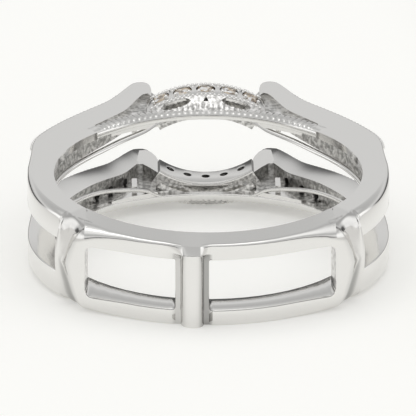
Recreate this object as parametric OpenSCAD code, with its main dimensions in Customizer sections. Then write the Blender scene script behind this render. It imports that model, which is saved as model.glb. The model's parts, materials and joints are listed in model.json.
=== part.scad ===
// Ring guard: two parallel bands joined at the back by a bar and two cuffs, open from
// cuff to cuff over the head so that another ring slides in between them.
// The finger's axis is Z and the head is at +Y. The origin is the middle of the finger hole.

/* [Finger hole] */
// Inner diameter of the finger hole
finger_d = 17.3; // [15.7:0.1:19.8]

/* [Shank] */
// Width across both bands at the back
shank_w = 4.84; // [4.4:0.02:5.1]
// Width across both bands at the sides and the shoulders
side_w = 5.16; // [5.1:0.02:5.4]
// Distance behind the middle where the bands reach their full width
taper_y = 6; // [5:0.25:8]
// Width of one band beside the back windows
back_band_w = 0.94; // [0.8:0.02:1.1]
// Wall of the bands at the back
back_t = 1.7; // [1.5:0.05:2.1]
// Wall of the bands at the sides
side_t = 1.5; // [1.3:0.05:1.8]
// Half of the gap between the bands at the sides
side_gap = 1.0; // [0.8:0.02:1.2]
// Angle from the back where the gap between the bands starts
slot_a = 55.5; // [55:0.5:60]

/* [Windows, bar and cuffs] */
// Distance from the middle to the outer end of each back window
window_x = 6.95; // [6.4:0.05:7.2]
// Corner radius of the windows
window_round = 0.5; // [0.2:0.05:0.8]
// Distance of the bar from the middle of the back, to the left
bar_x = 1.03; // [0:0.05:1.8]
// Width of the bar across the back
bar_w = 1.86; // [1.4:0.02:2.2]
// How far the bar's dome stands out past the bands
bar_rise = 0.5; // [0.3:0.05:0.7]
// How far the bar's dome stops short of the upper face
bar_step = 0.55; // [0.3:0.05:0.8]
// How far the cuffs stand out past the bands
cuff_rise = 0.58; // [0.3:0.02:0.7]
// Angle from the back where the cuffs start to swell
swell_a = 28; // [24:1:32]
// Angle from the back of each cuff's rim
rim_a = 53.5; // [52:0.5:54]
// Width of the rim
rim_w = 0.2; // [0.1:0.05:0.3]
// Width of the hollows in the cuffs at the faces
scoop_w = 2.2; // [1.6:0.1:2.4]
// Depth of the hollows in the cuffs at the faces
scoop_t = 0.45; // [0.2:0.05:0.6]

/* [Shoulders] */
// Distance of each shoulder's peak from the middle
peak_x = 3.8; // [3.6:0.05:4.1]
// Height of each shoulder's peak above the finger circle's top
peak_h = 5.23; // [4.6:0.05:5.8]
// Angle from the head where the shoulders start to rise
shoulder_a = 88; // [84:1:92]
// Distance from the middle to the end of the plain face beside the bow
tip_x = 3.1; // [3:0.02:3.3]
// Depth of the shoulders from their outer edge, towards the finger
ribbon_t = 1.9; // [1.6:0.05:2.1]
// Half of the gap between the bands at the shoulders' peaks
peak_gap = 1.54; // [1.3:0.02:1.7]

/* [Bows] */
// Radius of each bow's outer wall, seen from the head
bow_r = 6.1; // [5.8:0.05:6.5]
// Thickness of each bow's wall
bow_t = 1.35; // [1.2:0.05:1.6]
// How far each bow's outer wall stands out past the plain faces
bow_out = 0.8; // [0.6:0.02:1.1]
// Height of the bows' top above the finger circle's top
bow_h = 2.85; // [2.6:0.05:3.2]
// Height of the bows' wall
bow_w = 1.8; // [1.6:0.05:2]
// Half angle that each bow covers
bow_a = 31; // [30:0.5:32]

/* [Rails and struts] */
// Depth of the thin rails on the finger side
rail_t = 0.45; // [0.35:0.05:0.6]
// Width of the thin rails
rail_w = 0.42; // [0.3:0.02:0.5]
// Depth of the ribbed outer rail
skirt_t = 0.85; // [0.7:0.05:1]
// Half of the gap between the bands at the rails under the bows
rail_gap = 2.28; // [2.15:0.02:2.4]
// Distance of the struts from the middle
strut_x = 4.15; // [3.9:0.05:4.4]
// Thickness of the struts
strut_t = 0.42; // [0.3:0.02:0.5]
// Thickness of the sloping gallery wall under each bow
gallery_t = 0.35; // [0.3:0.05:0.5]
// Length of the pointed windows in the gallery
lancet_w = 1.7; // [1.2:0.1:2]
// Height of the pointed windows in the gallery
lancet_h = 0.42; // [0.3:0.02:0.5]

/* [Stones] */
// Diameter of the stones in the bows
bow_stone_d = 1.06; // [0.9:0.02:1.12]
// Angle between the stones in the bows
bow_stone_step = 12.5; // [12:0.1:13]
// Diameter of the stones in the shoulders
side_stone_d = 1.06; // [0.9:0.02:1.12]
// Distance between the stones in the shoulders
side_stone_step = 1.32; // [1.25:0.01:1.4]
// Diameter of the holes under the stones
azure_d = 0.48; // [0.4:0.02:0.6]
// Clearance round each stone
stone_gap = 0.03; // [0.02:0.01:0.05]

/* [Hidden] */
BOW_STONES = 5;
SIDE_STONES = 3;

GOLD = "#dcdad6";
STONE = "#e9e2d8";
eps = 0.01;

finger_r = finger_d / 2;
half_w = shank_w / 2;
half_side = side_w / 2;
back_r = finger_r + back_t;
side_r = finger_r + side_t;
rail_r = finger_r + rail_t;
skirt_r = finger_r + skirt_t;
far = 2 * finger_r;

// Shoulder's peak in polar form, angles from the head
peak_y = finger_r + peak_h;
peak_r = norm([peak_x, peak_y]);
peak_a = atan2(peak_x, peak_y);

// Bow: its axis runs along Y, at this distance on the far side of the middle
bow_axis = bow_r - half_side - bow_out;
bow_top = finger_r + bow_h;
bow_low = bow_top - bow_w;
bow_in = bow_r - bow_t;

// Rise of the shoulders' outer edge: [share of the way from peak to side, share of the rise]
SHOULDER_RISE = [[0, 1], [0.02, 0.985], [0.042, 0.9], [0.075, 0.77], [0.11, 0.64],
    [0.15, 0.53], [0.2, 0.45], [0.28, 0.37], [0.38, 0.305], [0.5, 0.253], [0.62, 0.215],
    [0.68, 0.175], [0.73, 0.12], [0.81, 0.05], [0.9, 0.012], [1, 0]];

// Shoulder's tip: [share of the way from peak to tip, share of the peak's height over the bow]
TIP = [[0.3, 1], [0.65, 0.93], [0.88, 0.78], [1, 0.55], [1, 0.3]];

// Swell of the cuffs: [share of the way from start to rim, share of the rise]
CUFF_SWELL = [[0, 0], [0.17, 0.2], [0.36, 0.55], [0.47, 0.84], [0.6, 1], [0.78, 0.96], [1, 0.76]];

// Half gap at the ribbons: [share of the finger radius across, share from side gap to peak gap]
GAP = [[0, 1], [0.44, 1], [0.5, 0.86], [0.58, 0.6], [0.68, 0.4], [0.8, 0.14], [0.92, 0], [1.3, 0]];

// Half gap at the rails: [share of the finger radius across, share from side gap to rail gap]
RAIL_GAP = [[0, 1], [0.27, 1], [0.32, 0.86], [0.38, 0.62], [0.44, 0.48], [0.57, 0.28],
    [0.68, 0.12], [0.8, 0.03], [0.92, 0], [1.3, 0]];

// Web beside the bow: [share of the peak's distance, share of the way from bow to peak]
WEB = [[1, 0.86], [0.9, 0.88], [0.82, 0.8], [0.75, 0.64], [0.68, 0.52], [0.58, 0.43],
    [0.58, 0], [0.72, 0.08], [0.84, 0.22], [0.95, 0.36], [1.05, 0.36]];

// Value at place p in a table of [place, value] rows, with a smooth curve through the rows
function row_at(rows, p, i = 0) =
    i >= len(rows) - 2 || p < rows[i + 1][0] ? i : row_at(rows, p, i + 1);
function slope(rows, i) =
    let (a = rows[max(i - 1, 0)], b = rows[min(i + 1, len(rows) - 1)])
    (b[1] - a[1]) / (b[0] - a[0]);
function smooth(rows, p) =
    let (i = row_at(rows, p), a = rows[i], b = rows[i + 1], w = b[0] - a[0],
        t = (p - a[0]) / w, m = slope(rows, i) * w, n = slope(rows, i + 1) * w)
    a[1] * (2 * pow(t, 3) - 3 * pow(t, 2) + 1) + m * (pow(t, 3) - 2 * pow(t, 2) + t)
    + b[1] * (3 * pow(t, 2) - 2 * pow(t, 3)) + n * (pow(t, 3) - pow(t, 2));

// A point at an angle from the head and a radius from the finger's axis
function polar(a, r) = [r * sin(a), r * cos(a)];
function share_a(s) = peak_a + s * (shoulder_a - peak_a);
function outer_at(s) = side_r + (peak_r - side_r) * smooth(SHOULDER_RISE, s);
function inner_at(s) = max(rail_r - eps, outer_at(s) - ribbon_t);
function outer_point(s) = polar(share_a(s), outer_at(s));
function gap_at(x) = side_gap + (peak_gap - side_gap) * smooth(GAP, x / finger_r);
function rail_gap_at(x) = side_gap + (rail_gap - side_gap) * smooth(RAIL_GAP, x / finger_r);

SHARES = [0, 0.01, 0.02, 0.03, 0.045, 0.06, 0.08, 0.1, 0.13, 0.17, 0.21, 0.26, 0.32, 0.4,
    0.48, 0.56, 0.62, 0.66, 0.7, 0.74, 0.79, 0.85, 0.92, 1];

// Extrudes a drawing of the X and Z directions along +Y, from y0 to y1
module along_y(y0, y1) {
    translate([0, y0, 0]) rotate([90, 0, 0]) mirror([0, 0, 1])
        linear_extrude(height = y1 - y0) children();
}

// Keeps both sides of a shape
module both_sides() {
    children();
    mirror([1, 0, 0]) children();
}

module both_bands() {
    children();
    mirror([0, 0, 1]) children();
}

// A cone or cylinder from one point to another
module spike(p, q, r1, r2, sides = 48) {
    d = q - p;
    translate(p) rotate([0, acos(d[2] / norm(d)), atan2(d[1], d[0])])
        cylinder(h = norm(d), r1 = r1, r2 = r2, $fn = sides);
}

// Round part of the shank behind the shoulders, thicker at the back
module shank_arc() {
    intersection() {
        translate([0, side_t - back_t, -half_side]) cylinder(h = side_w, r = side_r, $fn = 180);
        translate([-far, -far, -half_side]) cube([2 * far, far + polar(shoulder_a, side_r)[1], side_w]);
    }
}

// Keeps what lies between the two side faces, which close in towards the back
module between_faces() {
    face = [[-far, half_w], [-back_r, half_w], [-taper_y, half_side], [far, half_side]];
    intersection() {
        union() children();
        rotate([90, 0, 90]) linear_extrude(height = 2 * far, center = true)
            polygon(concat(face, [for (i = [len(face) - 1:-1:0]) [face[i][0], -face[i][1]]]));
    }
}

// Plain face of one shoulder, from the side of the shank to the tip beside the bow
module shoulder_face() {
    tip_top = peak_y;
    tip_low = bow_top;
    tip = [for (t = TIP) [peak_x + (tip_x - peak_x) * t[0], tip_low + (tip_top - tip_low) * t[1]]];
    inner = [for (s = SHARES) polar(share_a(s), inner_at(s))];
    under_tip = [tip_x, norm([tip_x, inner[0][1]]) - (tip_x + peak_x) / 8];
    outer = [for (i = [len(SHARES) - 1:-1:0]) outer_point(SHARES[i])];
    translate([0, 0, -half_side]) linear_extrude(height = side_w)
        polygon(concat([polar(shoulder_a + 2, rail_r - eps), polar(shoulder_a + 2, side_r - 0.05)],
            outer, tip, [under_tip], inner));
}

// Web that joins a shoulder's peak to the bow on the gap's side
module bow_web() {
    outline = [for (w = WEB) [w[0] * peak_x, bow_low + (peak_y - bow_low) * w[1]]];
    translate([0, 0, peak_gap - 0.1]) linear_extrude(height = half_side - peak_gap - 0.2)
        polygon(outline);
}

// Gap between the bands, open over the head and closed by the cuffs at the back
module band_gap() {
    xs = [0, 0.3, 0.44, 0.47, 0.5, 0.54, 0.58, 0.63, 0.68, 0.74, 0.8, 0.86, 0.92, 1.3];
    half = [for (s = xs) [s * finger_r, gap_at(s * finger_r)]];
    right = concat(half, [for (i = [len(half) - 1:-1:0]) [half[i][0], -half[i][1]]]);
    along_y(-back_r * cos(slot_a), far) {
        polygon(right);
        mirror([1, 0]) polygon(right);
    }
}

// Two windows at the back, either side of the bar
module back_windows() {
    h = half_w - back_band_w;
    for (w = [[-window_x, -bar_x - bar_w / 2], [-bar_x + bar_w / 2, window_x]]) {
        translate([w[0] + window_round, -far, -h])
            cube([w[1] - w[0] - 2 * window_round, far - finger_r / 2, 2 * h]);
        translate([w[0], -far, -h + window_round])
            cube([w[1] - w[0], far - finger_r / 2, 2 * (h - window_round)]);
        for (x = [w[0] + window_round, w[1] - window_round], z = [-h + window_round, h - window_round])
            translate([x, -finger_r / 2, z]) rotate([90, 0, 0])
                cylinder(h = far, r = window_round, $fn = 32);
    }
}

// Domed bar across the back
module centre_bar() {
    r = bar_w / 2;
    translate([-bar_x, r - back_r - bar_rise, -half_w])
        cylinder(h = shank_w - bar_step, r = r, $fn = 64);
    translate([-bar_x - r, r - back_r - bar_rise, -half_w])
        cube([bar_w, back_t + bar_rise - r, shank_w]);
}

// Outer radius of a cuff at an angle from the back
function band_r(a) = side_r + (back_t - side_t) * cos(a);
function cuff_r(a) = band_r(a) + cuff_rise * smooth(CUFF_SWELL, (a - swell_a) / (rim_a - swell_a));

// Cuff that joins the bands beside a window: a rim, and a crescent between two hollows
module cuff() {
    step = (rim_a - swell_a) / 18;
    tip_a = rim_a - rim_w / side_r * 180 / PI;
    scoop_a = scoop_w / side_r * 90 / PI;
    scoop_r = (pow(scoop_w / 2, 2) + pow(scoop_t, 2)) / (2 * scoop_t);
    tip = concat(polar(180 - tip_a, cuff_r(tip_a) + 0.05), [0]);
    face = concat(polar(180 - tip_a + scoop_a, cuff_r(tip_a - scoop_a) + scoop_r - scoop_t), [half_side]);
    difference() {
        translate([0, 0, -half_side]) linear_extrude(height = side_w)
            polygon(concat([for (a = [swell_a:step:rim_a + step / 2]) polar(180 - a, cuff_r(a))],
                [for (a = [rim_a:-step:swell_a - step / 2]) polar(180 - a, finger_r - rail_t)]));
        both_bands() spike(tip, tip + (face - tip) * 1.1, 0.05, scoop_r * 1.1);
    }
}

// Wall of a bow, with the sloping gallery wall under it
module bow_wall() {
    rail_out = bow_axis + rail_gap + rail_w;
    foot = finger_r + rail_t / 4;
    translate([0, 0, -bow_axis]) rotate([-90, 0, 0]) rotate([0, 0, -90 - bow_a])
        rotate_extrude(angle = 2 * bow_a, $fn = 120) {
            translate([bow_in, bow_low]) square([bow_t, bow_w]);
            polygon([[rail_out - gallery_t, foot], [rail_out, foot],
                [rail_out + 0.3, foot + rail_t], [bow_r, bow_low + eps],
                [bow_r - gallery_t, bow_low + eps], [rail_out + 0.3 - gallery_t, foot + 2 * rail_t]]);
        }
}

// Pointed windows and a small centre opening, cut through the sloping gallery wall
module gallery_windows() {
    arc = (pow(lancet_w / 2, 2) + pow(lancet_h / 2, 2)) / lancet_h;
    y = (bow_low + finger_r + rail_t) / 2 + rail_t / 4;
    for (a = [-17, 17]) translate([0, 0, -bow_axis]) rotate([0, a, 0])
        translate([0, y, bow_in]) intersection() {
            translate([0, arc - lancet_h / 2, 0]) cylinder(h = 2 * bow_t, r = arc, $fn = 96);
            translate([0, lancet_h / 2 - arc, 0]) cylinder(h = 2 * bow_t, r = arc, $fn = 96);
        }
    translate([0, y, rail_gap]) cylinder(h = 2 * bow_t, d = lancet_h, $fn = 3);
}

// Thin rails round the finger: an outer one with a ribbed edge and an inner one at the gap
function rail_out_at(x) =
    half_side + (rail_gap + rail_w - half_side) * max(0, 1 - pow(x / finger_r / 0.6, 2));

module finger_rails() {
    xs = [for (s = [0, 0.27, 0.3, 0.33, 0.37, 0.41, 0.44, 0.5, 0.57, 0.63, 0.68, 0.74, 0.8, 0.92, 1.1])
        s * finger_r];
    back = [for (i = [len(xs) - 1:-1:0]) xs[i]];
    both_sides() {
        intersection() {
            rails_ring(rail_r);
            along_y(0, far) {
                polygon(concat([for (x = xs) [x, rail_gap_at(x)]],
                    [for (x = back) [x, rail_gap_at(x) + 0.85 * rail_w]]));
                polygon(concat([for (x = xs) [x, rail_out_at(x)]], [for (x = back) [x, rail_out_at(x) - rail_w]]));
            }
        }
        intersection() {
            rails_ring(skirt_r);
            along_y(0, far)
                polygon(concat([for (i = [2:len(xs) - 1]) [xs[i], rail_out_at(xs[i])]],
                    [for (i = [len(xs) - 1:-1:2]) [xs[i], rail_out_at(xs[i]) - rail_w]]));
        }
    }
}

module rails_ring(r) {
    intersection() {
        translate([0, 0, -side_w]) cylinder(h = 2 * side_w, r = r, $fn = 180);
        translate([-far, 0, -side_w]) cube([2 * far, far, 2 * side_w]);
    }
}

// Strut from the rails up to a shoulder's peak, with a foot that spreads along the rails
module strut() {
    foot_y = sqrt(pow(finger_r, 2) - pow(strut_x, 2)) + rail_t / 2;
    top_y = peak_y - ribbon_t;
    z0 = peak_gap + rail_w / 4;
    spread = 2.2 * strut_t;
    translate([0, 0, z0]) linear_extrude(height = half_side - z0 - rail_w / 4)
        polygon([[strut_x - spread, foot_y + spread / 2], [strut_x - strut_t / 2, foot_y + 1.6 * spread],
            [strut_x - strut_t / 2, top_y], [strut_x + strut_t / 2, top_y],
            [strut_x + strut_t / 2, foot_y + 1.2 * spread], [strut_x + spread, foot_y - spread / 2]]);
}

// Places of the stones

// Direction square to the shoulder's outer edge at a share of the way down it
function edge_dir(s) =
    let (d = outer_point(s + 0.01) - outer_point(s - 0.01)) [-d[1], d[0]] / norm(d);
side_stone_first = 0.37;
edge_length = norm(outer_point(side_stone_first + 0.05) - outer_point(side_stone_first - 0.05)) / 0.1;
function side_stone_share(i) = side_stone_first - (i - 1) * side_stone_step / edge_length;
side_stone_z = (half_side + side_gap + 0.3 * (peak_gap - side_gap)) / 2;

// Moves its children so that their +Z faces out of the bow at a stone's place
module at_bow_stone(i) {
    y = bow_top - bow_w * 0.42;
    translate([0, 0, -bow_axis]) rotate([0, (i - (BOW_STONES + 1) / 2) * bow_stone_step, 0])
        translate([0, y, bow_r]) children();
}

// Moves its children so that their +Z faces out of the shoulder at a stone's place
module at_side_stone(i) {
    s = side_stone_share(i);
    p = outer_point(s);
    n = edge_dir(s);
    translate([p[0], p[1], side_stone_z]) rotate([0, 0, atan2(n[1], n[0])])
        rotate([0, 90, 0]) children();
}

// Seat for a stone whose girdle lies just under the surface, with an open hole below it
module seat(d, depth) {
    g = d / 2 + stone_gap;
    low = -0.16 * d;
    translate([0, 0, low]) cylinder(h = 1, r = g, $fn = 48);
    translate([0, 0, low - 0.4 * d]) cylinder(h = 0.4 * d + eps / 2, r1 = azure_d / 2, r2 = g, $fn = 48);
    translate([0, 0, -depth]) cylinder(h = depth, d = azure_d, $fn = 32);
}

// Round cut stone: table, crown and pavilion, its table just under the metal's surface
module cut_stone(d) {
    color(STONE) translate([0, 0, -0.16 * d + stone_gap]) {
        cylinder(h = 0.11 * d, d1 = d, d2 = 0.62 * d, $fn = 12);
        translate([0, 0, -0.36 * d]) cylinder(h = 0.36 * d + eps / 5, d1 = 0.1 * d, d2 = d, $fn = 12);
    }
}

// Upper band's head: everything that the lower band mirrors
module band_head() {
    bow_wall();
    both_sides() bow_web();
    finger_rails();
    both_sides() strut();
}

module ring_frame() {
    color(GOLD) difference() {
        union() {
            between_faces() {
                difference() {
                    union() {
                        shank_arc();
                        both_sides() shoulder_face();
                    }
                    band_gap();
                }
                both_sides() cuff();
                centre_bar();
            }
            both_bands() band_head();
        }
        translate([0, 0, -far]) cylinder(h = 2 * far, r = finger_r, $fn = 180);
        back_windows();
        both_bands() {
            gallery_windows();
            for (i = [1:BOW_STONES]) at_bow_stone(i) seat(bow_stone_d, 1.5 * bow_t);
            both_sides() for (i = [1:SIDE_STONES]) at_side_stone(i) seat(side_stone_d, 1.2 * ribbon_t);
        }
    }
}

module bow_stone(band, i) {
    mirror([0, 0, band == "lower" ? 1 : 0]) at_bow_stone(i) cut_stone(bow_stone_d);
}

module side_stone(band, side, i) {
    mirror([0, 0, band == "lower" ? 1 : 0]) mirror([side == "left" ? 1 : 0, 0, 0])
        at_side_stone(i) cut_stone(side_stone_d);
}

ring_frame();
for (band = ["upper", "lower"]) {
    for (i = [1:BOW_STONES])
        bow_stone(band, i);
    for (side = ["left", "right"], i = [1:SIDE_STONES])
        side_stone(band, side, i);
}
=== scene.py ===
import json
from math import asin, cos, degrees, hypot, pi, radians, sin, sqrt

import bmesh
import bpy
from mathutils import Matrix, Vector


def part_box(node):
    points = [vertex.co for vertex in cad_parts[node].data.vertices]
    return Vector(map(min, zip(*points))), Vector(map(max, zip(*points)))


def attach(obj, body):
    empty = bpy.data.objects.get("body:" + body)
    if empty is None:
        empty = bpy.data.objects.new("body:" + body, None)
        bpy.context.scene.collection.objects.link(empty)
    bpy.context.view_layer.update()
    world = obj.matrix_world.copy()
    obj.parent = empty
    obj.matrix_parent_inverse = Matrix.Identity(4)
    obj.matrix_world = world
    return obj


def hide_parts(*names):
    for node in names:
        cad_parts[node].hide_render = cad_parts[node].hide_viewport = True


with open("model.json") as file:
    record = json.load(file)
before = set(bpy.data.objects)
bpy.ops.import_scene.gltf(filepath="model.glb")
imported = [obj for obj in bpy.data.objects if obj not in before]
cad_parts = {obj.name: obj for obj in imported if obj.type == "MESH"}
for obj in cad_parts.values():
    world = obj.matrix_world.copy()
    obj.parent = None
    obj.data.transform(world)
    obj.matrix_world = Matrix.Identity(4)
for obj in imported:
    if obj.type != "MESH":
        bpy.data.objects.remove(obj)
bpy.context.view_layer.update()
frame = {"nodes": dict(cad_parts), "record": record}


# Back of the shank: two bands joined by a domed bar and two swollen cuffs, with an open
# window on each side of the bar. White gold, cast in one piece, plated with rhodium and
# polished, so its edges are softly rounded by the buffing wheel.

# Sizes are in millimetres and angles in degrees, from the middle of the back
MM = 0.001
finger = next(m for m in frame["record"]["mounts"] if m["name"] == "finger_bore")["dims"]
finger_r, half_side = finger["r_mm"], finger["length_mm"] / 2
ring_low, ring_high = (Vector(corner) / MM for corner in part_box("ring_frame"))
side_r, bar_front = ring_high.x, -ring_low.y
back_extra, mean_r = 0.2, 10.6
# Each side face draws in by the taper, from taper_y behind the ring's middle to the back
taper, taper_y = 0.16, 6
half_w = half_side - taper
# The bar: a round rod on a flat base, with a flare and a short tongue at its upper end
bar_x, bar_r, base_step, bar_top = -1.03, 0.93, 0.8, half_w - 0.5
rod_r, flare_left, flare_right, tongue_w, tongue_back = 0.64, 1.87, 1.2, 0.45, 0.24
# The windows, with the radius of their corners at the cuffs and at the bar
window_x, window_z, draft = 6.95, half_w - 0.94, 0.18
cuff_round, bar_round, window_soft = 0.42, 0.16, 0.07
# The cuffs: a crescent, a step down from its edge, a hollow and a rim
swell_a, swell_end_a, cuff_rise = 28, 55, 0.58
crease_mid_a, crease_turn, crease_step, crease_gap_a = 49.6, 8.2, 0.12, 0.5
hollow_rise, hollow_dip, hollow_bend = 0.42, 0.62, 2.4
rim_a, rim_w, rim_rise, rim_dip, rim_step = 52.8, 0.8, 0.5, 0.35, 0.05
end_a = 54.4
# Two places nearer than this are the same
same = 1e-6

# Swell of the cuffs by angle from the back, in shares of their rise
CUFF_SWELL = [(swell_a, 0), (32.3, 0.2), (37.2, 0.55), (40, 0.84), (42.5, 1), (45, 0.96),
              (48.2, 0.72), (51, 0.42), (swell_end_a, 0.3)]
# How far the outer edge is rounded inwards, and over what height, by angle from the back
EDGE_DEPTH = [(0, 0.1), (12, 0.13), (20, 0.16), (30, 0.26), (35, 0.45), (39, 0.78), (44, 0.85),
              (48, 0.6), (54, 0.5), (57, 0.5), (66, 0.5), (72, 0.45), (77, 0.4), (84, 0.3),
              (90, 0.16), (96, 0.1)]
EDGE_HEIGHT = [(0, 0.12), (12, 0.15), (20, 0.18), (30, 0.25), (35, 0.36), (39, 0.5), (44, 0.8),
               (50, 0.8), (54, 0.5), (57, 0.35), (77, 0.35), (84, 0.3), (90, 0.16), (96, 0.1)]


def along(rows, place):
    """Height at a place on a smooth curve through (place, height) rows."""
    last = len(rows) - 1
    place = min(max(place, rows[0][0]), rows[last][0])
    i = max(k for k in range(last) if rows[k][0] <= place)

    def slope(k):
        a, b = rows[max(k - 1, 0)], rows[min(k + 1, last)]
        return (b[1] - a[1]) / (b[0] - a[0])

    (x0, y0), (x1, y1) = rows[i], rows[i + 1]
    w = x1 - x0
    t = (place - x0) / w
    return (y0 * (2 * t**3 - 3 * t**2 + 1) + slope(i) * w * (t**3 - 2 * t**2 + t)
            + y1 * (3 * t**2 - 2 * t**3) + slope(i + 1) * w * (t**3 - t**2))


def from_back(angle, radius, z):
    """A point at an angle in degrees from the middle of the back."""
    return Vector((radius * sin(radians(angle)), -radius * cos(radians(angle)), z))


def widened(point):
    """A point of the back moved outwards, as the shank grows wider towards its sides."""
    share = min(1, max(0, (side_r + point.y) / (side_r - taper_y)))
    outer = max(0, (abs(point.z) - window_z) / (half_w - window_z))
    move = outer * share * taper
    return Vector((point.x, point.y, point.z + (move if point.z > 0 else -move)))


def mix(a, b, t):
    """The value at a share t of the way from a to b."""
    return a + (b - a) * t


def skin(bm, rows):
    """A sheet of quads whose vertices are moved to rows of points."""
    verts = bmesh.ops.create_grid(bm, x_segments=len(rows[0]) - 1, y_segments=len(rows) - 1,
                                  size=1)["verts"]
    for vert, point in zip(verts, (p for row in rows for p in row)):
        vert.co = point
    return verts


def linear(hex_colour):
    """An sRGB hex colour in the linear values that Blender uses."""
    parts = [int(hex_colour[i:i + 2], 16) / 255 for i in (1, 3, 5)]
    return [c / 12.92 if c <= 0.04045 else ((c + 0.055) / 1.055) ** 2.4 for c in parts] + [1]


def add_node(tree, kind, settings=None, links=None):
    """Adds a node with its settings and links. A link is (socket name, node, its output)."""
    node = tree.nodes.new(kind)
    for name, value in (settings or {}).items():
        if name in node.inputs:
            node.inputs[name].default_value = value
        else:
            setattr(node, name, value)
    for name, source, output in links or []:
        tree.links.new(source.outputs[output], node.inputs[name])
    return node


# Polished rhodium plate over white gold: mirror-like, with a faint warm grey and a very
# slight haze from the buffing wheel, so highlights have soft ends. Painted shade: where the vertex
# attribute read below is above 0, the colour is darkened towards near black for dark reflections and shade.
polished = bpy.data.materials.new("polished_white_gold")
polished.use_nodes = True
shader = polished.node_tree.nodes["Principled BSDF"]
shader.inputs["Metallic"].default_value = 1
shader.inputs["Roughness"].default_value = 0.12
tree = polished.node_tree
# Painted shade: this vertex attribute mixes the gold's colour towards near black
groove = add_node(tree, "ShaderNodeAttribute", {"attribute_name": "groove"})
gold_and_painted_shade = add_node(tree, "ShaderNodeMix", {"data_type": "RGBA"}, [("Factor", groove, "Fac")])
gold_and_painted_shade.inputs[6].default_value = linear("#e9e8e6")
gold_and_painted_shade.inputs[7].default_value = linear("#1c1c1b")
tree.links.new(gold_and_painted_shade.outputs[2], shader.inputs["Base Color"])

# The same gold as it left the mould, in the hollows that no wheel reaches: grey and dull.
# Its grains are about 0.1 mm; they are drawn coarser, at 0.22 mm, so that they can be seen.
rough_cast = bpy.data.materials.new("rough_cast_white_gold")
rough_cast.use_nodes = True
tree = rough_cast.node_tree
shader = tree.nodes["Principled BSDF"]
shader.inputs["Metallic"].default_value = 1
shader.inputs["Roughness"].default_value = 0.3
grain_mm, grain_deep_mm = 0.22, 0.05
coords = add_node(tree, "ShaderNodeTexCoord")
grain = add_node(tree, "ShaderNodeTexNoise", {"Scale": 1 / (grain_mm * MM), "Detail": 4},
                 [("Vector", coords, "Object")])
grain_tone = add_node(tree, "ShaderNodeValToRGB", None, [("Fac", grain, "Fac")])
for stop, position, colour in zip(grain_tone.color_ramp.elements, (0.38, 0.62), ("#a8a7a5", "#f2f1ef")):
    stop.position, stop.color = position, linear(colour)
bump = add_node(tree, "ShaderNodeBump", {"Strength": 0.75, "Distance": grain_deep_mm * MM},
                [("Height", grain, "Fac")])
tree.links.new(grain_tone.outputs["Color"], shader.inputs["Base Color"])
tree.links.new(bump.outputs["Normal"], shader.inputs["Normal"])


merge_mm = 0.002


def closed_mesh(name, bm, materials):
    """An object of a bmesh in millimetres, its faces turned outwards."""
    bmesh.ops.remove_doubles(bm, verts=bm.verts, dist=merge_mm)
    bmesh.ops.dissolve_degenerate(bm, dist=merge_mm / 2, edges=bm.edges)
    bmesh.ops.recalc_face_normals(bm, faces=bm.faces)
    mesh = bpy.data.meshes.new(name)
    bm.to_mesh(mesh)
    bm.free()
    for material in materials:
        mesh.materials.append(material)
    thing = bpy.data.objects.new(name, mesh)
    bpy.context.scene.collection.objects.link(thing)
    return thing


def piece(name, bm, materials, sharp=32, drills=None):
    """Makes a finished piece of a bmesh in millimetres, with holes where the drills go."""
    thing = closed_mesh(name, bm, materials)
    if drills:
        tool = closed_mesh("drills", drills, materials[-1:])
        hole = thing.modifiers.new("holes", "BOOLEAN")
        hole.operation, hole.solver, hole.object = "DIFFERENCE", "EXACT", tool
        hole.material_mode = "TRANSFER"
        bpy.context.view_layer.update()
        drilled = bpy.data.meshes.new_from_object(
            thing.evaluated_get(bpy.context.evaluated_depsgraph_get()))
        thing.modifiers.clear()
        thing.data = drilled
        bpy.data.objects.remove(tool)
    thing.data.transform(Matrix.Scale(MM, 4))
    thing.data.shade_smooth()
    thing.data.set_sharp_from_angle(angle=radians(sharp))
    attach(thing, "root")
    return thing


def band_face(angle):
    """Radius of the bands' outer face, a little thicker at the back."""
    return side_r + back_extra * max(0, cos(radians(angle)))


def cuff_face(angle, z):
    """Radius of the shank's outside, with the cuffs' swell and the rounded edge."""
    a = abs(angle)
    swell = cuff_rise * along(CUFF_SWELL, a) if swell_a < a <= rim_a else 0
    face = band_face(a) + swell
    depth, height = along(EDGE_DEPTH, a), along(EDGE_HEIGHT, a)
    over = max(0, (abs(z) - half_w + height) / height)
    return face - depth * (1 - sqrt(max(0, 1 - over**2)))


def bar_face(x, z, band):
    """Radius of the shank's outside at the bar: a rod on a flat base, flared into the top face."""
    off = abs(x - bar_x)
    rod = bar_front - rod_r + sqrt(max(0, rod_r**2 - off**2))
    if off < bar_r + same:
        below = max(rod, side_r)
    else:
        below = band if abs(z) > window_z - same else side_r
    up = min(1, max(0, (z - window_z) / (bar_top - window_z)))
    crest = bar_front - tongue_back * min(1, max(0, (z - bar_top) / (half_w - bar_top)))
    flare_r = flare_left if x < bar_x else flare_right
    slope = min(1, max(0, (off - tongue_w) / (flare_r - tongue_w)))
    bell = band + (crest - band) * (1 - slope) ** 2
    return mix(below, max(rod if z < bar_top else 0, bell), up**2)


def crease_a(z):
    """Angle of the crescent's edge, farthest round at mid height."""
    return crease_mid_a - crease_turn * (abs(z) / half_w) ** 1.05


def hollow_face(t, z):
    """Radius in the hollow between the crescent's edge and the cuff's rim."""
    s = abs(z) / half_w
    lip = cuff_face(crease_a(z), z) - crease_step * min(1, 5 * s) * (1 + s * s)
    rim = side_r + rim_rise * (1 - s**2) - rim_dip * s**12
    low = side_r + hollow_rise - hollow_dip * s**0.7
    near_lip, near_rim = (1 - t) ** hollow_bend, t**hollow_bend
    return lip * near_lip + rim * near_rim + low * (1 - near_lip - near_rim)


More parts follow.
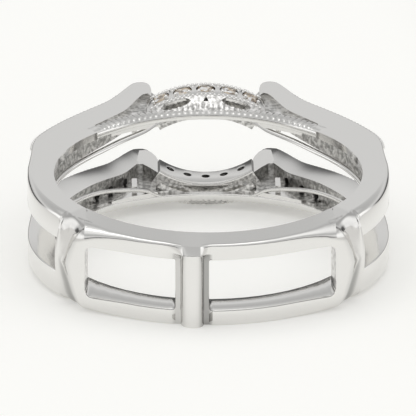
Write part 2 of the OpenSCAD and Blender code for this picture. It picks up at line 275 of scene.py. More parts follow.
# Columns of the outer sheet from left to right: (kind, place, side). An "x" column stands at
# a place in millimetres, one of the crescent or the hollow at a share of the way across it,
# and one of the rim or the band at an angle.
rod_steps = [rod_r * sin(radians(a)) for a in range(-90, 91, 15)]
bar_steps = [bar_x + x for x in [-bar_r, -base_step] + rod_steps + [base_step, bar_r]]
left_x = [-window_x, -6.35, -5.6, -4.8, -4.0, -3.2, -2.7, -2.4, -2.15]
right_x = [0.1, 0.35, 0.7, 1.2, 2.0, 2.8, 3.6, 4.4, 5.2, 5.8, 6.35, window_x]
cuff_columns = [("crescent", t / 10) for t in range(1, 11)] + [("hollow", t / 10) for t in range(11)]
cuff_columns += [("rim", rim_a + 0.15), ("rim", rim_a + rim_w)]
cuff_columns += [("band", rim_a + rim_w + 0.1), ("band", end_a)]
columns = [(kind, place, -1) for kind, place in reversed(cuff_columns)]
columns += [("x", x, 1) for x in left_x + bar_steps + right_x]
columns += [(kind, place, 1) for kind, place in cuff_columns]


def rough_angle(kind, place):
    """Angle from the back that a column has on the whole, for its rows' heights."""
    window_a, crescent_a = degrees(asin(window_x / mean_r)), crease_a(0.6 * half_w)
    if kind == "x":
        return abs(degrees(asin(place / mean_r)))
    if kind == "crescent":
        return mix(window_a, crescent_a, place)
    if kind == "hollow":
        return mix(crescent_a, rim_a, place)
    return place


def row_heights(angle):
    """Heights of the outer sheet's rows from the top face to the bottom one."""
    height = along(EDGE_HEIGHT, angle)
    edge = half_w - height
    inner = min(window_z, edge - 0.12)
    upper = [edge + height * sin(radians(t)) for t in (90, 72, 54, 36, 18, 0)]
    upper += [mix(edge, inner, t) for t in (0.38, 0.46, 0.56, 1)] + [inner * 0.6, inner * 0.3]
    return upper + [0] + [-z for z in reversed(upper)]


# A column's angle depends on the radius and the radius on the angle, so they take turns
turns_taken = 6


def outer_point(kind, place, side, z):
    """A point of the outer sheet."""
    if kind == "x":
        a = degrees(asin(place / mean_r))
        for _ in range(turns_taken):
            r = cuff_face(a, z)
            if abs(place - bar_x) < flare_left:
                r = bar_face(place, z, r)
            a = degrees(asin(place / r))
        return Vector((place, -r * cos(radians(a)), z))
    if kind == "crescent":
        window_a = degrees(asin(window_x / mean_r))
        for _ in range(turns_taken):
            window_a = degrees(asin(window_x / cuff_face(window_a, z)))
        a = mix(window_a, crease_a(z), place)
        r = cuff_face(a, z)
    elif kind == "hollow":
        a = mix(crease_a(z) + crease_gap_a, rim_a, place)
        r = hollow_face(place, z)
    elif kind == "rim":
        a, r = place, hollow_face(1, z) + rim_step
    else:
        a, r = place, cuff_face(max(place, swell_end_a), z)
    return from_back(side * a, r, z)


# Most painted shade, a dark reflection painted into the gold's colour, as a share, right and left of
# the rod, at a cuff's top, in its hollow and on its crescent
right_of_rod, left_of_rod, at_top, in_hollow, on_crescent = 0.5, 0.22, 0.16, 0.5, 0.2
# Where it lies: from the first distance below off the rod's middle to its side, on the uppermost top_h of a
# cuff, from crescent_from to the crescent's edge, and round hollow_line, from fade_z down
rod_clean, top_h, crescent_from = 0.3, 0.5, 0.6
hollow_line, hollow_half, fade_z, fade_h = 0.66, 0.26, 0.5, 1.1


def painted_shade_share(kind, place, z):
    """Share of painted shade, a dark reflection painted into the colour, on a point of the outer sheet."""
    if kind == "x":
        off = abs(place - bar_x)
        if off >= bar_r + same or z >= bar_top:
            return 0
        most = right_of_rod if place > bar_x else left_of_rod
        return most * min(1, max(0, (off - rod_clean) / (rod_r - rod_clean)))
    top = at_top if z > half_w - top_h else 0
    if kind == "crescent":
        return max(top * place, on_crescent * max(0, place - crescent_from) / (1 - crescent_from))
    if kind == "hollow":
        low = min(1, max(0, (fade_z - z) / fade_h))
        return max(top, in_hollow * low * max(0, 1 - ((place - hollow_line) / hollow_half) ** 2))
    return top


def bore_angle(kind, place, index, count):
    """Angle from the back of a column in the finger hole."""
    narrow = 1 - draft / window_x
    if kind == "x":
        return degrees(asin(place * narrow / finger_r))
    start = degrees(asin(window_x * narrow / finger_r))
    return mix(start, end_a, index / count)


cuff_count = len(cuff_columns)
outer_rows, bore_rows = [], []
heights = [row_heights(rough_angle(kind, place)) for kind, place, side in columns]
row_count = len(heights[0])
# The row at the windows' upper edge, counted from the top face
window_row = 9
for j in range(row_count):
    outer_rows.append([widened(outer_point(kind, place, side, heights[i][j]))
                       for i, (kind, place, side) in enumerate(columns)])
    line = []
    for i, (kind, place, side) in enumerate(columns):
        index = i - (len(columns) - cuff_count) + 1 if side > 0 else cuff_count - i
        a = bore_angle(kind, place, index, cuff_count)
        z = heights[i][j]
        if j < window_row:
            z = mix(half_w, heights[i][window_row], j / window_row)
        elif j > row_count - 1 - window_row:
            z = -mix(half_w, heights[i][window_row], (row_count - 1 - j) / window_row)
        line.append(widened(from_back(side * a if kind != "x" else a, finger_r, z)))
    bore_rows.append(line)

bm = bmesh.new()
wide = len(columns)
painted_shade_layer = bm.verts.layers.float.new("groove")
outer_verts = skin(bm, outer_rows)
# Painted shade: each outer vertex gets its share of dark colour standing in for shade and dark reflections
for n, vert in enumerate(outer_verts):
    kind, place, side = columns[n % wide]
    vert[painted_shade_layer] = painted_shade_share(kind, place, vert.co.z)
bore_verts = skin(bm, bore_rows)


def column_at(x):
    """Index of the "x" column that stands at a place."""
    return next(i for i, (kind, place, side) in enumerate(columns)
                if kind == "x" and abs(place - x) < same)


# Each window is cut through both sheets, walled, and rounded at its four corners
corner_edges = {cuff_round: [], bar_round: []}
for x0, x1 in ((-window_x, bar_steps[0]), (bar_steps[-1], window_x)):
    first, last = column_at(x0), column_at(x1)
    top, bottom = window_row, row_count - 1 - window_row
    loops = []
    for verts in (outer_verts, bore_verts):
        inside = {verts[j * wide + i] for j in range(top, bottom + 1) for i in range(first, last + 1)}
        faces = [f for f in bm.faces if all(v in inside for v in f.verts)]
        bmesh.ops.delete(bm, geom=faces, context="FACES")
        around = {verts[j * wide + i] for j in range(top, bottom + 1) for i in (first, last)}
        around |= {verts[j * wide + i] for j in (top, bottom) for i in range(first, last + 1)}
        loops += [e for v in around for e in v.link_edges
                  if e.is_boundary and e.other_vert(v) in around]
    bmesh.ops.bridge_loops(bm, edges=list(set(loops)))
    for i in (first, last):
        for j in (top, bottom):
            edge = bm.edges.get((outer_verts[j * wide + i], bore_verts[j * wide + i]))
            if edge:
                rounding = cuff_round if abs(columns[i][1]) == window_x else bar_round
                corner_edges[rounding].append(edge)
for rounding, edges in corner_edges.items():
    bmesh.ops.bevel(bm, geom=edges, offset=rounding, offset_type="OFFSET", segments=4, profile=0.5,
                    affect="EDGES", material=-1, clamp_overlap=False)

# The top and bottom faces and the two ends close the shank. The ends between the bands are
# rough and bulge by the second value of each step, in degrees.
wall_steps = [(0, 0), (0.12, 3), (0.3, 6), (0.6, 7), (0.9, 6), (1, 0)]
for row in (0, -1):
    skin(bm, [[mix(a, b, t) for a, b in zip(outer_rows[row], bore_rows[row])] for t, bulge in wall_steps])
for end in (0, -1):
    end_rows = []
    for t, bulge in wall_steps:
        line = [mix(a[end], b[end], t) for a, b in zip(outer_rows, bore_rows)]
        swings = [radians(bulge if end else -bulge) * max(0, 1 - (p.z / half_w) ** 4) for p in line]
        end_rows.append([Matrix.Rotation(swing, 3, "Z") @ p for swing, p in zip(swings, line)])
    end_wall = skin(bm, end_rows)
    for face in {f for v in end_wall for f in v.link_faces}:
        face.material_index = 1

# The windows' sharp edges are softened, and their walls at the cuffs are left rough
bmesh.ops.remove_doubles(bm, verts=bm.verts, dist=merge_mm)
bmesh.ops.recalc_face_normals(bm, faces=bm.faces)
sharp_edges = [e for e in bm.edges if len(e.link_faces) == 2 and e.calc_face_angle(0) > radians(50)
               and all(abs(v.co.z) < window_z + 0.01 and abs(v.co.x) < window_x + 0.01 for v in e.verts)]
bmesh.ops.bevel(bm, geom=sharp_edges, offset=window_soft, offset_type="OFFSET", segments=2, profile=0.5,
                affect="EDGES", material=-1, clamp_overlap=False)
bm.normal_update()
for face in bm.faces:
    middle = face.calc_center_median()
    near_cuff = abs(middle.z) < window_z and window_x - 0.15 < abs(middle.x) < window_x + 0.1
    if near_cuff and abs(face.normal.x) > 0.93:
        face.material_index = 1
shank = piece("shank_back", bm, [polished, rough_cast])
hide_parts("ring_frame")


# Sides and shoulders: from each cuff a band runs round the side and rises to a peak beside
# the bow. Cast with the shank, polished outside, and left rough in the hollow on the
# finger's side.

# Angles are now from the middle of the head, and a gap is half of the one between the bands
peak_x, peak_y, tip_x, tip_drop = 3.8, ring_high.y, 3.1, 0.8625
bow_top = finger_r + 2.85
ribbon_t, edge_soft = 1.9, 0.08
rail_t, rail_w = 0.45, 0.42
shoulder_a, plain_a, skirt_a, skirt_fade_a = 88, 80, 42, 2
side_gap, peak_gap = 1.0, 1.54
peak_r = hypot(peak_x, peak_y)
peak_a = degrees(asin(peak_x / peak_r))

# Rise of the outer edge from side to peak, by share of the way down from the peak
RISE = [(0, 1), (0.02, 0.985), (0.042, 0.9), (0.075, 0.77), (0.11, 0.64), (0.15, 0.53), (0.2, 0.45),
        (0.28, 0.37), (0.38, 0.305), (0.5, 0.253), (0.62, 0.215), (0.68, 0.175), (0.73, 0.12),
        (0.81, 0.05), (0.9, 0.012), (1, 0)]
# Half of the gap between the bands by share of the finger radius across, from side to peak
GAP = [(0, 1), (0.44, 1), (0.5, 0.86), (0.58, 0.6), (0.68, 0.4), (0.8, 0.14), (0.92, 0), (1.3, 0)]
# Tip of a shoulder: (share of the way from peak to tip, share of the height over the bow)
TIP = [(0.3, 1), (0.65, 0.93), (0.88, 0.78), (1, 0.55), (1, 0.3)]


def from_head(angle, radius, z=0):
    """A point at an angle in degrees from the middle of the head."""
    return Vector((radius * sin(radians(angle)), radius * cos(radians(angle)), z))


def gap_at(x):
    """Half of the gap between the bands, at a place across the ring."""
    return mix(side_gap, peak_gap, along(GAP, abs(x) / finger_r))


def shoulder_edge(share):
    """Outer edge of a shoulder, by share of the way from its peak to the side."""
    a = mix(peak_a, shoulder_a, share)
    return from_head(a, mix(side_r, peak_r, along(RISE, share)))


# Stations along a band: (outer point, inner point, rim point, depth and height of the rounded
# edge). The rim is where the plain face ends: at the finger hole on the sides, and at the
# hollow's floor where the ribbed skirt stands free of the face.
side_steps = 18
stations = []
for k in range(side_steps + 1):
    phi = mix(end_a, 180 - shoulder_a, k / side_steps)
    bore = from_back(phi, finger_r, 0)
    stations.append((from_back(phi, band_face(phi), 0), bore, bore,
                     along(EDGE_DEPTH, phi), along(EDGE_HEIGHT, phi)))
first_hollow = len(stations)
shares = [1 - k / 20 for k in range(12)]
shares += [0.42, 0.39, 0.36, 0.34, 0.32, 0.28, 0.24, 0.2, 0.17, 0.14, 0.115, 0.09, 0.07, 0.05, 0.035,
           0.02, 0.01, 0]
for share in shares:
    out = shoulder_edge(share)
    a = mix(peak_a, shoulder_a, share)
    inner_r = max(finger_r + rail_t, out.length - ribbon_t)
    rim_r = mix(inner_r, finger_r, min(1, max(0, (a - skirt_a) / skirt_fade_a)))
    depth = max(edge_soft, along(EDGE_DEPTH, 180 - a)) if a > plain_a else edge_soft
    stations.append((out, from_head(a, inner_r), from_head(a, rim_r), depth, edge_soft))
first_tip = len(stations)
last_inner = stations[-1][1]
under_tip = Vector((tip_x, hypot(tip_x, last_inner.y) - tip_drop, 0))
for n, (over, up) in enumerate(TIP):
    out = Vector((mix(peak_x, tip_x, over), mix(bow_top, peak_y, up), 0))
    inner = mix(last_inner, under_tip, (n + 1) / len(TIP))
    stations.append((out, inner, inner, edge_soft, edge_soft))

UP = Vector((0, 0, 1))


def quarter(out, inward, depth, level, height, angles):
    """Points round a quarter of an oval: so deep inwards from a point, and so high to a level."""
    return [out + inward * depth * (1 - cos(radians(t))) + UP * (level - height * (1 - sin(radians(t))))
            for t in angles]


def band_section(out, inner, rim, depth, height):
    """Points round a band's section: plain face, rounded edge, outside, gap side and hollow."""
    inward = (inner - out).normalized()
    low = gap_at(out.x)
    row = [rim + UP * half_side, out + inward * (depth + 0.02) + UP * half_side]
    row += quarter(out, inward, depth, half_side, height, (90, 72, 54, 36, 18, 0))
    row += [out + UP * mix(half_side - height, low + edge_soft, 0.5)]
    row += quarter(out, inward, edge_soft, low, -edge_soft, (0, 30, 60, 90))
    flange = half_side - rail_w
    return row + [inner + UP * low, inner + UP * mix(low, flange, 0.5), inner + UP * flange,
                  rim + UP * flange, rim + UP * half_side]


def close_ends(bm, rows):
    """Closes the two ends of a tube whose rows come back to their first point."""
    for end in (0, -1):
        bmesh.ops.contextual_create(bm, geom=[bm.verts.new(p) for p in rows[end][:-1]])


def both(bm, *axes):
    """Adds the mirror image of all that is made so far, across each axis in turn."""
    for axis in axes:
        bmesh.ops.mirror(bm, geom=bm.verts[:] + bm.edges[:] + bm.faces[:], axis=axis, merge_dist=-1)


def stone_axis(centre):
    """Direction in which a stone faces: out of its bow, or square to its shoulder's edge."""
    if abs(centre.x) < tip_x and centre.y < bow_top:
        side = 1 if centre.z > 0 else -1
        return Vector((centre.x, 0, centre.z + side * bow_axis)).normalized()
    right = Vector((abs(centre.x), centre.y, 0))
    near = min(range(1, edge_steps), key=lambda k: (edge_points[k] - right).length)
    along_edge = edge_points[near + 1] - edge_points[near - 1]
    out = Vector((abs(along_edge.y), abs(along_edge.x), 0)).normalized()
    return Vector((out.x if centre.x > 0 else -out.x, out.y, 0))


def turned(bm, profile, matrix, steps=24):
    """Adds a solid turned from a profile of (radius, height) points that closes on its axis."""
    old = set(bm.verts)
    verts = [bm.verts.new((r, 0, z)) for r, z in profile]
    edges = [bm.edges.new(pair) for pair in zip(verts, verts[1:])]
    bmesh.ops.spin(bm, geom=verts + edges, cent=(0, 0, 0), axis=(0, 0, 1), dvec=(0, 0, 0),
                   angle=2 * pi, steps=steps, use_merge=True, use_duplicate=False)
    bmesh.ops.transform(bm, matrix=matrix, verts=[v for v in bm.verts if v not in old])


# The bows curve round an axis, at their middle, that runs from back to front
bow_r, bow_t, bow_w, bow_half_a = 6.1, 1.35, 1.8, 31
bow_axis = bow_r - ring_high.z
# Diameters of a stone and of the open hole below it, and the room round a stone
stone_d, azure_d, stone_gap = 1.06, 0.48, 0.03
# A girdle's place over the middle of its stone's box, in shares of the diameter, and a
# seat's straight wall and cone
girdle_up, seat_low, seat_high, cone_share = 0.125, -0.03, 0.6, 0.4
edge_steps = 200
edge_points = [shoulder_edge(k / edge_steps) for k in range(edge_steps + 1)]
stone_places = {}
for name in sorted(n for n in frame["nodes"] if "stone" in n):
    box_low, box_high = (Vector(corner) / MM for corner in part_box(name))
    centre = (box_low + box_high) / 2
    axis = stone_axis(centre)
    girdle = centre + axis * girdle_up * stone_d
    stone_places[name] = Matrix.Translation(girdle) @ axis.to_track_quat("Z", "Y").to_matrix().to_4x4()


def seats(names, through):
    """Drills for stones: a straight seat, a cone under it and a narrow open hole below."""
    drills = bmesh.new()
    seat_r, azure_r = stone_d / 2 + stone_gap, azure_d / 2
    profile = [(0, seat_high), (seat_r, seat_high), (seat_r, seat_low),
               (azure_r, seat_low - cone_share * stone_d), (azure_r, -through), (0, -through)]
    for name in names:
        turned(drills, profile, stone_places[name])
    return drills


bm = bmesh.new()
rows = [band_section(*station) for station in stations]
verts = skin(bm, rows)
wide = len(rows[0])
# The hollow's walls are the last four points of a section, before it comes back to its start
hollow = {verts[j * wide + i] for j in range(first_hollow, first_tip) for i in range(wide - 5, wide - 1)}
for face in bm.faces:
    if all(v in hollow for v in face.verts):
        face.material_index = 1
close_ends(bm, rows)
both(bm, "X", "Z")
shoulders = piece("shoulders", bm, [polished, rough_cast],
                  drills=seats([n for n in stone_places if "bow" not in n], 1.25 * ribbon_t))
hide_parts("ring_frame")


# Two bows between the peaks, one on each band, that curve round the head of the ring worn
# inside. White gold, cast with the bands, with five stone seats drilled in each outer face
# and an open hole under every stone.

bow_low = bow_top - bow_w


def at_bow(angle, radius, y):
    """A point of the upper bow, by angle from its middle and radius from its axis."""
    return Vector((radius * sin(radians(angle)), y, radius * cos(radians(angle)) - bow_axis))


def soft_box(low, high, soft, wide=None, steps=4):
    """Points round a rectangle with rounded corners, closed. Its upper left one may be wider."""
    wide = wide or soft
    corners = [(high[0] - soft, high[1] - soft, 0, soft), (low[0] + wide, high[1] - wide, 90, wide),
               (low[0] + soft, low[1] + soft, 180, soft), (high[0] - soft, low[1] + soft, 270, soft)]
    turns = [radians(90 * k / steps) for k in range(steps + 1)]
    points = [(x + r * cos(radians(start) + turn), y + r * sin(radians(start) + turn))
              for x, y, start, r in corners for turn in turns]
    return points + points[:1]


# The bows' ends run a little into the shoulders
bow_end_a, bow_soft, bow_steps = bow_half_a + 2.5, 0.1, 44
bm = bmesh.new()
section = soft_box((bow_r - bow_t, bow_low), (bow_r, bow_top), bow_soft)
turns = [mix(-bow_end_a, bow_end_a, k / bow_steps) for k in range(bow_steps + 1)]
rows = [[at_bow(a, r, y) for r, y in section] for a in turns]
skin(bm, rows)
close_ends(bm, rows)
both(bm, "Z")
bows = piece("bows", bm, [polished, rough_cast],
             drills=seats([n for n in stone_places if "bow" in n], 1.5 * bow_t))
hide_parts("ring_frame")


# Milgrain: rows of tiny gold beads, rolled with a knurled wheel along the two edges of each
# bow's outer face and along the shoulders' edges beside their stones.

bead_r, bead_pitch, bead_sunk = 0.12, 0.25, 0.03
# The shoulders' beads run between these shares of the way from the peak to the side
first_share, last_share = 0.1, 0.75
bm = bmesh.new()


def bead(bm, point):
    """One bead of the milgrain."""
    bmesh.ops.create_uvsphere(bm, u_segments=7, v_segments=5, radius=bead_r,
                              matrix=Matrix.Translation(point))


bead_turn = degrees(bead_pitch / bow_r)
count = int(bow_half_a / bead_turn)
for k in range(-count, count + 1):
    for y in (bow_low + bead_r, bow_top - bead_r / 2):
        bead(bm, at_bow(k * bead_turn, bow_r - bead_sunk, y))
walk = 0
for k in range(round(first_share * edge_steps), round(last_share * edge_steps)):
    walk += (edge_points[k + 1] - edge_points[k]).length
    if walk > bead_pitch:
        walk = 0
        for side in (1, -1):
            for z in (half_side - 1.2 * bead_r, gap_at(edge_points[k].x) + 1.2 * bead_r):
                bead(bm, Vector((side * edge_points[k].x, edge_points[k].y, z)))
both(bm, "Z")
milgrain = piece("milgrain", bm, [polished], sharp=80)
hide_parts("ring_frame")


# Thin finger rails and the ribbed skirt: two gold strips per band that run round the finger
# side of the head, cast with it, the outer one with a row of fine ribs cut across it.

rail_gap, skirt_t = 2.28, 0.85
rib_pitch, rib_h, rib_reach_a, rib_fade_a = 0.34, 0.07, 1, 6
# Ribs start this far from the outer face and from the finger hole
rib_z, rib_r = 0.08, 0.12
rail_soft, rail_round = 0.07, 0.2
# The inner rail is narrower and thinner than the outer one by these shares
inner_w, inner_t = 0.6, 0.65
# The skirt grows from a rail's thickness to its own from the first angle over the second
skirt_grow_a, skirt_grow_w, skirt_over_a = 11, 8, 4
# The rails stand a hair off the faces beside them, so that no two lie in one plane
proud, back_off = 0.005, 0.01
RAIL_GAP = [(0, 1), (0.27, 1), (0.32, 0.86), (0.38, 0.62), (0.44, 0.48), (0.57, 0.28), (0.68, 0.12),
            (0.8, 0.03), (0.92, 0), (1.3, 0)]


def rail_gap_at(x):
    """Half of the gap between the two inner rails, at a place across the ring."""
    return mix(side_gap, rail_gap, along(RAIL_GAP, abs(x) / finger_r))


def rail_out_at(x):
    """Height of the outer rail's outer face, which swings out under the bow."""
    return half_side + (rail_gap + rail_w - half_side) * max(0, 1 - (x / finger_r / 0.6) ** 2)


def ribs(arc):
    """Height of the ribs at a place along their row, in millimetres from its middle."""
    return rib_h * abs(cos(pi * arc / rib_pitch))


bm = bmesh.new()
for outer, reach, count in ((True, skirt_a + skirt_over_a, 440), (False, shoulder_a, 120)):
    rows = []
    for k in range(count + 1):
        a = mix(-reach, reach, k / count)
        x = finger_r * sin(radians(a))
        if outer:
            high = rail_out_at(x) + proud
            low = high - rail_w
            deep = mix(rail_t, skirt_t, min(1, max(0, (abs(a) - skirt_grow_a) / skirt_grow_w)))
            rib = ribs(radians(a) * finger_r)
            rib *= min(1, max(0, (skirt_a + rib_reach_a - abs(a)) / rib_fade_a))
        else:
            low, deep, rib = rail_gap_at(x), inner_t * rail_t, 0
            high = low + inner_w * rail_w
        section = soft_box((finger_r + back_off, low), (finger_r + deep, high), rail_soft, rail_round)
        rows.append([from_head(a, r, z + (rib if z > high - rib_z and r > finger_r + rib_r else 0))
                     for r, z in section])
    skin(bm, rows)
    close_ends(bm, rows)
both(bm, "Z")
rails = piece("finger_rails", bm, [polished])
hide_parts("ring_frame")


# Gallery under each bow: a thin sloping wall between the bow and the finger rail, with ribs
# across it, two pointed windows and a small opening. White gold, left as it was cast.

gallery_t, gallery_out, gallery_steps = 0.35, 0.3, 240
lancet_w, lancet_h, lancet_a, lancet_bend = 1.8, 0.6, 17, 2.6
foot = finger_r + rail_t / 4
rail_out = bow_axis + rail_gap + rail_w


def gallery_line(t):
    """Radius from the bow's axis and Y on the outside of the gallery wall, foot to bow."""
    path = [(rail_out, foot), (rail_out + gallery_out, foot + rail_t), (bow_r, bow_low + 0.05)]
    u = t * 2
    a, b = (path[0], path[1]) if u < 1 else (path[1], path[2])
    u = u % 1 if t < 1 else 1
    return mix(a[0], b[0], u), mix(a[1], b[1], u)


bm = bmesh.new()
rows = []
for k in range(gallery_steps + 1):
    a = mix(-bow_half_a, bow_half_a, k / gallery_steps)
    rib = ribs(radians(a) * bow_r)
    outside = [gallery_line(t / 8) for t in range(9)]
    outside = [(r + (rib if 0 < n < 5 else 0), y) for n, (r, y) in enumerate(outside)]
    inside = [(r - gallery_t, y) for r, y in reversed(outside)]
    rows.append([at_bow(a, r, y) for r, y in outside + inside + outside[:1]])
skin(bm, rows)
close_ends(bm, rows)
both(bm, "Z")

# Punches for the pointed windows and the small opening between them
punches = bmesh.new()
window_y = (bow_low + finger_r + rail_t) / 2 + rail_t / 4
lancet = [(lancet_w / 2 * k / 8, lancet_h / 2 * (1 - abs(k / 8) ** lancet_bend)) for k in range(-8, 9)]
lancet += [(x, -y) for x, y in lancet[-2:0:-1]]
opening = [(0.16, -0.12), (0, 0.2), (-0.16, -0.12)]
for outline, turn in ((lancet, -lancet_a), (lancet, lancet_a), (opening, 0)):
    old = set(punches.verts)
    face = bmesh.ops.contextual_create(
        punches, geom=[punches.verts.new((x, window_y + y, bow_r - 2 * bow_t)) for x, y in outline])["faces"]
    moved = bmesh.ops.extrude_face_region(punches, geom=face)["geom"]
    bmesh.ops.translate(punches, vec=(0, 0, 4 * bow_t),
                        verts=[g for g in moved if isinstance(g, bmesh.types.BMVert)])
    bmesh.ops.transform(punches, verts=[v for v in punches.verts if v not in old],
                        matrix=Matrix.Translation((0, 0, -bow_axis)) @ Matrix.Rotation(radians(turn), 4, "Y"))
both(punches, "Z")
gallery = piece("gallery", bm, [rough_cast], sharp=40, drills=punches)
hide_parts("ring_frame")


# Struts and webs at the ends of each bow: a polished post on a spread foot, a web that joins
# bow and shoulder, and a cheek behind the hollow between them. Cast with the bands and hardly
# touched since, so the cheek and the web are rough, but for the web's face on the gap.

strut_x = 4.15
foot_y = sqrt(finger_r**2 - strut_x**2) + rail_t / 2
strut_low, strut_high = peak_gap + rail_w / 4, half_side - rail_w / 4
cheek_x, cheek_r, cheek_step, cheek_over = 0.56 * peak_x, finger_r + 0.3, 0.15, 0.1
# The cheek follows the hollow's inner edge from here outwards
hollow_x = 3.6
# Outlines seen along the finger hole's axis, the first two from the strut's foot
STRUT = [(-0.2, 0.4), (-0.2, 1.7), (0.1, 1.7), (0.1, 0.4)]
STRUT_FOOT = [(-1.38, 0.48), (-0.6, 0.62), (-0.2, 1.3), (0.1, 1.3), (0.4, 0.45), (1.25, -0.95), (0, -0.14)]
# The web's outline in shares of the way out to the peak and up to it from the bow's lower edge
WEB = [(1, 0.86), (0.9, 0.88), (0.82, 0.8), (0.75, 0.64), (0.72, 0.52), (0.7, 0.43),
       (0.7, 0), (0.75, 0.08), (0.84, 0.22), (0.95, 0.36), (1.05, 0.36)]
strut = [(strut_x + x, foot_y + y) for x, y in STRUT]
strut_foot = [(strut_x + x, foot_y + y) for x, y in STRUT_FOOT]
web = [(x * peak_x, mix(bow_low, peak_y, y)) for x, y in WEB]
inner_points = [station[1] for station in stations]
inner_edge = [p for p in inner_points if hollow_x < p.x < p.length * sin(radians(skirt_a))]
cheek = [(cheek_x, bow_low), (cheek_x, bow_top - cheek_step), (peak_x, peak_y - ribbon_t + cheek_step)]
cheek += [(p.x + cheek_over, p.y + cheek_over) for p in reversed(inner_edge)]
cheek += [(cheek_r * sin(radians(t)), cheek_r * cos(radians(t))) for t in range(44, 13, -2)]
# (outline, its lower side, its upper side, material), with no two sides in one plane
plates = [(strut, strut_low, strut_high - 0.06, 0), (strut_foot, 2.0, strut_high, 0),
          (web, peak_gap - 0.1, half_side - 0.3, 1), (cheek, 2.08, half_side - 0.28, 1)]
bm = bmesh.new()
for points, low, high, kind in plates:
    face = bmesh.ops.contextual_create(bm, geom=[bm.verts.new((x, y, low)) for x, y in points])["faces"]
    moved = bmesh.ops.extrude_face_region(bm, geom=face)["geom"]
    raised = [g for g in moved if isinstance(g, bmesh.types.BMVert)]
    bmesh.ops.translate(bm, vec=(0, 0, high - low), verts=raised)
    for wall in {f for v in raised for f in v.link_faces} | (set() if points is web else set(face)):
        wall.material_index = kind
both(bm, "X", "Z")
struts = piece("struts_and_webs", bm, [polished, rough_cast], sharp=40)
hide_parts("ring_frame")


# Stones: small round brilliants, five in each bow and three in each shoulder, each with a
# flat table, a ring of crown facets and a pointed back. Every stone lies in its own seat,
# held by four beads that the setter raised from the gold round it.

# Clear diamond, cut and polished on a wheel. Painted reflections: the flashes of its facets, white beside
# tan and brown, are painted into its colour as cells of 0.2 mm, about the real size of the facets inside.
clear_stone = bpy.data.materials.new("cut_clear_stone")
clear_stone.use_nodes = True
shader = clear_stone.node_tree.nodes["Principled BSDF"]
shader.inputs["Roughness"].default_value = 0.03
shader.inputs["IOR"].default_value = 2.4
shader.inputs["Transmission Weight"].default_value = 0.25
tree = clear_stone.node_tree
painted_glint_mm = 0.2
coords = add_node(tree, "ShaderNodeTexCoord")
cells = add_node(tree, "ShaderNodeTexVoronoi", {"Scale": 1 / (painted_glint_mm * MM)},
                 [("Vector", coords, "Object")])
painted_glint = add_node(tree, "ShaderNodeSeparateColor", None, [("Color", cells, "Color")])
painted_glint_tone = add_node(tree, "ShaderNodeValToRGB", None, [("Fac", painted_glint, "Red")])
painted_glint_tone.color_ramp.interpolation = "CONSTANT"
stops = painted_glint_tone.color_ramp.elements
for position, colour in ((0, "#7d6a55"), (0.3, "#c9b496"), (0.6, "#efe6d8"), (0.8, "#ffffff")):
    stop = stops[0] if position == 0 else stops.new(position)
    stop.color = linear(colour)
tree.links.new(painted_glint_tone.outputs["Color"], shader.inputs["Base Color"])

# A round brilliant by (radius, height over the girdle, corners, first corner's angle), the
# lengths in shares of its diameter
BRILLIANT = [(0.31, 0.15, 8, 0), (0.42, 0.085, 8, 22.5), (0.5, 0, 16, 0), (0.25, -0.2, 8, 0),
             (0.03, -0.37, 8, 22.5)]
# Radius of a seat's bead, and its place from the stone's middle in shares of the diameter
seat_bead_r, bead_out, bead_up = 0.12, 0.53, 0.13
beads = bmesh.new()
for name, place in stone_places.items():
    bm = bmesh.new()
    for radius, z, count, start in BRILLIANT:
        for k in range(count):
            a = radians(start + 360 * k / count)
            bm.verts.new((radius * stone_d * cos(a), radius * stone_d * sin(a), z * stone_d))
    bmesh.ops.convex_hull(bm, input=bm.verts)
    bmesh.ops.transform(bm, matrix=place, verts=bm.verts)
    stone = piece(name + "_cut", bm, [clear_stone], sharp=1)
    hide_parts(name)
    for k in range(4):
        a = radians(45 + 90 * k)
        spot = Vector((bead_out * cos(a), bead_out * sin(a), bead_up)) * stone_d
        bmesh.ops.create_icosphere(beads, subdivisions=2, radius=seat_bead_r,
                                   matrix=place @ Matrix.Translation(spot))
seat_beads = piece("seat_beads", beads, [polished], sharp=80)
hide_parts("ring_frame")


# Floor: matt white card, laid under the ring as it rests on its lower bow and on the back
# edge of its lower band.

# White paper card, uncoated: it has no gloss. Painted light: it glows faintly, standing in for the light that
# the walls of a white studio throw back, most in a pool round the ring, and it is painted a little greyer
# outside, a painted shade.
floor_material = bpy.data.materials.new("matt_white_card")
floor_material.use_nodes = True
shader = floor_material.node_tree.nodes["Principled BSDF"]
shader.inputs["Emission Strength"].default_value = 0.29
shader.inputs["Roughness"].default_value = 0.9
shader.inputs["Specular IOR Level"].default_value = 0.1
tree = floor_material.node_tree
pool_x, pool_y, pool_fade = 14, 62, 2.2
coords = add_node(tree, "ShaderNodeTexCoord")
squeezed = add_node(tree, "ShaderNodeMapping", {"Scale": (1 / (pool_x * MM), 1 / (pool_y * MM), 0)},
                    [("Vector", coords, "Object")])
far = add_node(tree, "ShaderNodeVectorMath", {"operation": "LENGTH"}, [(0, squeezed, "Vector")])
fade = add_node(tree, "ShaderNodeMapRange",
                {"From Min": 1, "From Max": pool_fade, "interpolation_type": "SMOOTHSTEP"},
                [("Value", far, "Value")])
# Painted light and shade: colour and glow brightest in the pool round the ring, greyer outside it
for socket, lit, dim in (("Base Color", "#e3e3e1", "#cfcecc"), ("Emission Color", "#fbfaf6", "#d8d7d4")):
    painted_card_light = add_node(tree, "ShaderNodeMix", {"data_type": "RGBA"}, [("Factor", fade, "Result")])
    painted_card_light.inputs[6].default_value = linear(lit)
    painted_card_light.inputs[7].default_value = linear(dim)
    tree.links.new(painted_card_light.outputs[2], shader.inputs[socket])
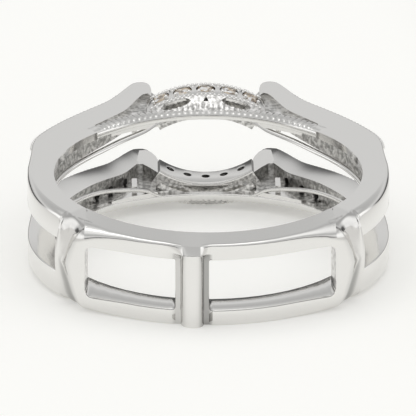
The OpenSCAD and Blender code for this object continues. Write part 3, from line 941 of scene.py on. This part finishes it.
# The card lies a hair below the ring, leaning with it
floor_half_m, floor_gap = 0.6, 0.01
back_edge = Vector((0, -taper_y, -half_side))
bow_foot = Vector((0, (bow_low + bow_top) / 2, ring_low.z))
lean = (bow_foot - back_edge).normalized()
bm = bmesh.new()
bmesh.ops.create_grid(bm, x_segments=1, y_segments=1, size=floor_half_m)
bmesh.ops.rotate(bm, verts=bm.verts, matrix=Matrix.Rotation(asin(lean.z), 3, "X"))
bmesh.ops.translate(bm, verts=bm.verts, vec=(back_edge - UP * floor_gap) * MM)
mesh = bpy.data.meshes.new("floor")
bm.to_mesh(mesh)
bm.free()
mesh.materials.append(floor_material)
floor = bpy.data.objects.new("floor", mesh)
bpy.context.scene.collection.objects.link(floor)


# Studio: an even pale room, brighter overhead and at the sides, with a dark stretch low in
# front and behind that draws the thin dark lines on the polished edges, and one broad soft lamp.

world = bpy.data.worlds.new("studio")
bpy.context.scene.world = world
world.use_nodes = True
tree = world.node_tree
background = tree.nodes["Background"]
toward = add_node(tree, "ShaderNodeTexCoord")
direction = add_node(tree, "ShaderNodeSeparateXYZ", None, [("Vector", toward, "Generated")])
# The room's white is a trace warm, by its blue against its red and green
room_blue = 0.995


def light_by_height(levels):
    """A ramp of grey levels over the sine of the height above the horizon, its two ends first."""
    node = add_node(tree, "ShaderNodeValToRGB", None, [("Fac", direction, "Z")])
    stops = node.color_ramp.elements
    for i, (sine, level) in enumerate(levels):
        stop = stops[i] if i < 2 else stops.new(sine)
        stop.position, stop.color = sine, (level, level, level * room_blue, 1)
    return node


ahead = light_by_height([(0, 0.1), (1, 1.05), (0.14, 0.1), (0.22, 0.6), (0.38, 0.77), (0.45, 0.58),
                         (0.6, 0.5), (0.75, 0.8), (0.87, 1.05)])
aside = light_by_height([(0, 1.1), (1, 1.05), (0.3, 1.25), (0.6, 1.1), (0.8, 0.8)])
side_start, side_full = 0.78, 0.9
across = add_node(tree, "ShaderNodeMath", {"operation": "ABSOLUTE"}, [(0, direction, "X")])
to_side = add_node(tree, "ShaderNodeMapRange", {"From Min": side_start, "From Max": side_full},
                   [("Value", across, "Value")])
room = add_node(tree, "ShaderNodeMix", {"data_type": "RGBA"}, [("Factor", to_side, "Result")])
tree.links.new(ahead.outputs["Color"], room.inputs[6])
tree.links.new(aside.outputs["Color"], room.inputs[7])
tree.links.new(room.outputs[2], background.inputs["Color"])

# The lamp's panel is 35 cm square and hangs half a metre over the ring, facing it
lamp = bpy.data.lights.new("soft_lamp", "AREA")
lamp.shape = "SQUARE"
lamp.size = 0.35
lamp.energy = 0.25
lamp_object = bpy.data.objects.new("soft_lamp", lamp)
lamp_object.location = (-0.05, 0.12, 0.5)
lamp_object.rotation_euler = (-lamp_object.location).to_track_quat("-Z", "Y").to_euler()
bpy.context.scene.collection.objects.link(lamp_object)
bpy.context.scene.view_settings.view_transform = "Standard"


# Camera: a long lens half a metre away and 22.3 degrees above the ring's plane, where the
# photograph's own stood, so that the finger hole fills the same oval in both pictures.

picture_px, px_per_mm, distance_mm = 416, 17.8, 500
elevation, swing = radians(22.3), radians(-0.8)
middle_px = (208.3, 214.45)
camera = bpy.data.cameras.new("camera")
camera.sensor_width = 36
camera.lens = px_per_mm * distance_mm / picture_px * camera.sensor_width
camera.shift_x = (picture_px / 2 - middle_px[0]) / picture_px
camera.shift_y = (middle_px[1] - picture_px / 2) / picture_px
camera.clip_start = 0.01
camera_object = bpy.data.objects.new("camera", camera)
stand = Vector((sin(swing) * cos(elevation), -cos(swing) * cos(elevation), sin(elevation)))
camera_object.location = stand * distance_mm * MM
camera_object.rotation_euler = (-stand).to_track_quat("-Z", "Y").to_euler()
bpy.context.scene.collection.objects.link(camera_object)
bpy.context.scene.camera = camera_object
